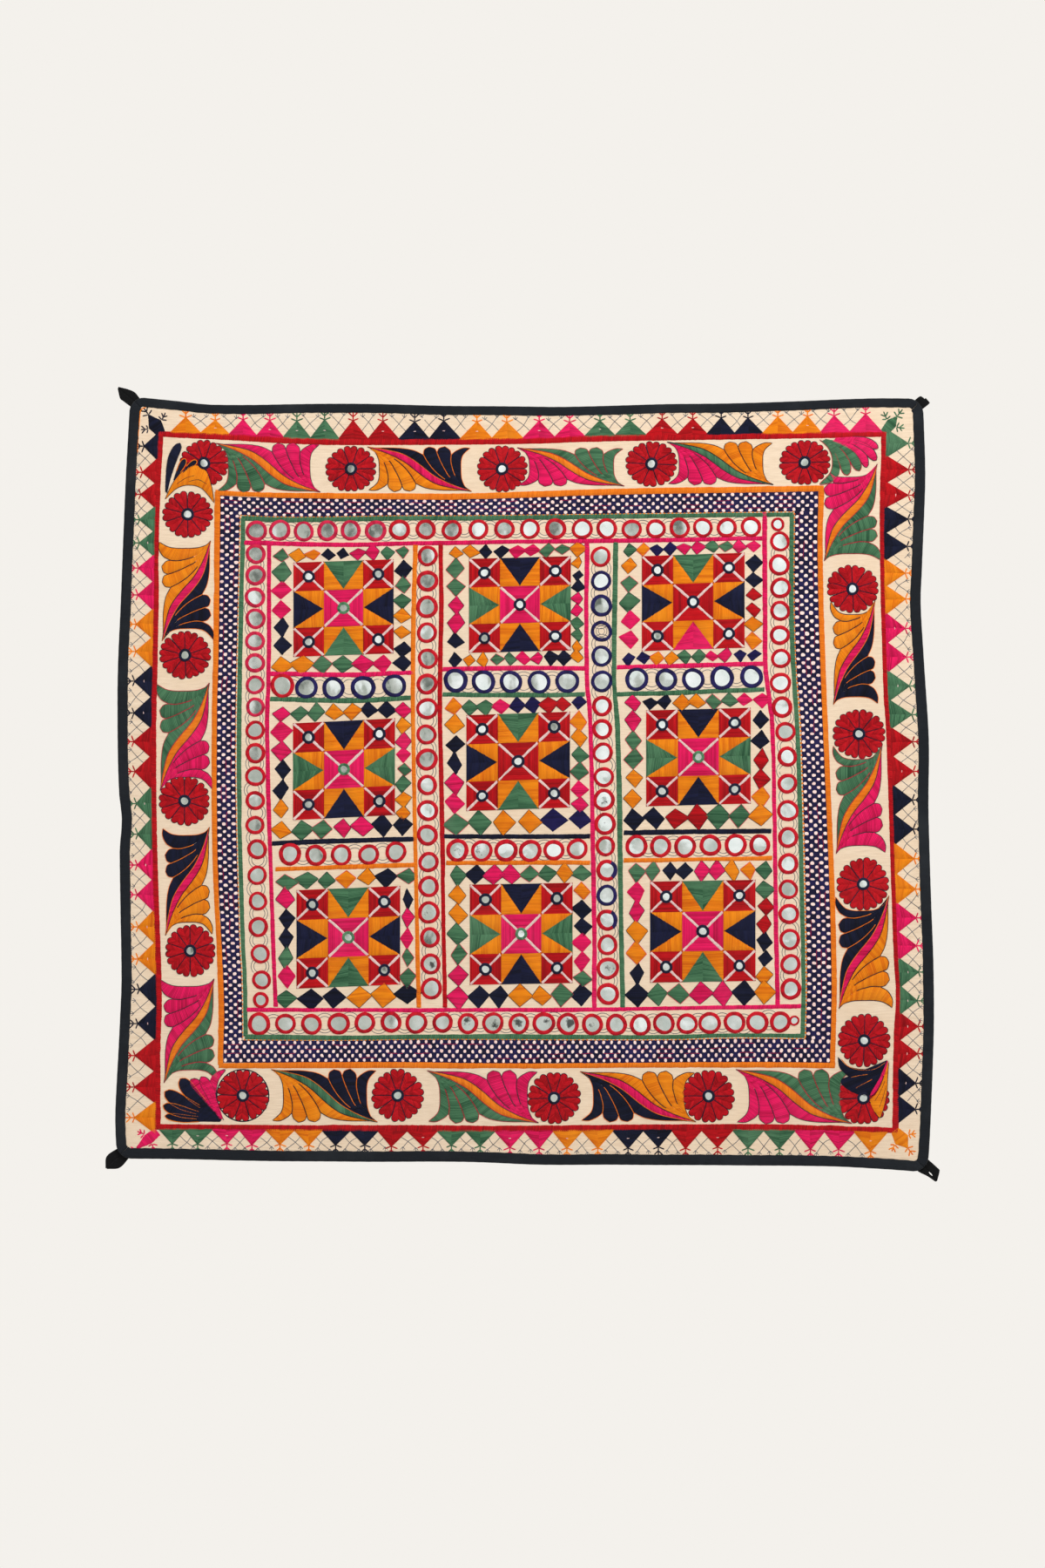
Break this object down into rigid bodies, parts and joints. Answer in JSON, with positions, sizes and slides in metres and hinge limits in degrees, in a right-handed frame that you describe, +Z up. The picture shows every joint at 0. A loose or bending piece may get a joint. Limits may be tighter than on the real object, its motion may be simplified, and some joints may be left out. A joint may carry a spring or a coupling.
{
  "type": "mirror work wall hanging",
  "caption": "Nearly square embroidered cotton wall hanging with star blocks, flower and leaf border, bands of small round mirrors, dark binding and a tape loop at each corner",
  "frame": {"origin": "the middle of the top edge of the cloth, halfway between its front and back face there", "axes": "X runs right along the top edge, Z is up, and the embroidered front faces -Y"},
  "size_m": [0.9585, 0.0109, 0.9123],
  "materials": {
    "ground_cotton": "plain woven natural cotton",
    "binding_cotton": "matte charcoal cotton",
    "loop_tape": "matte black cotton tape",
    "mirror_glass": "old silvered glass",
    "thread_red": "cotton embroidery thread",
    "thread_pink": "cotton embroidery thread",
    "thread_orange": "cotton embroidery thread",
    "thread_green": "cotton embroidery thread",
    "thread_navy": "cotton embroidery thread",
    "thread_blue": "cotton embroidery thread",
    "thread_cream": "cotton embroidery thread"
  },
  "bodies": {
    "root": {"panel": "ground_cotton", "binding_top": "binding_cotton", "binding_right": "binding_cotton", "binding_bottom": "binding_cotton", "binding_left": "binding_cotton", "loop_top_left": "loop_tape", "loop_top_right": "loop_tape", "loop_bottom_left": "loop_tape", "loop_bottom_right": "loop_tape"}
  },
  "joints": []
}
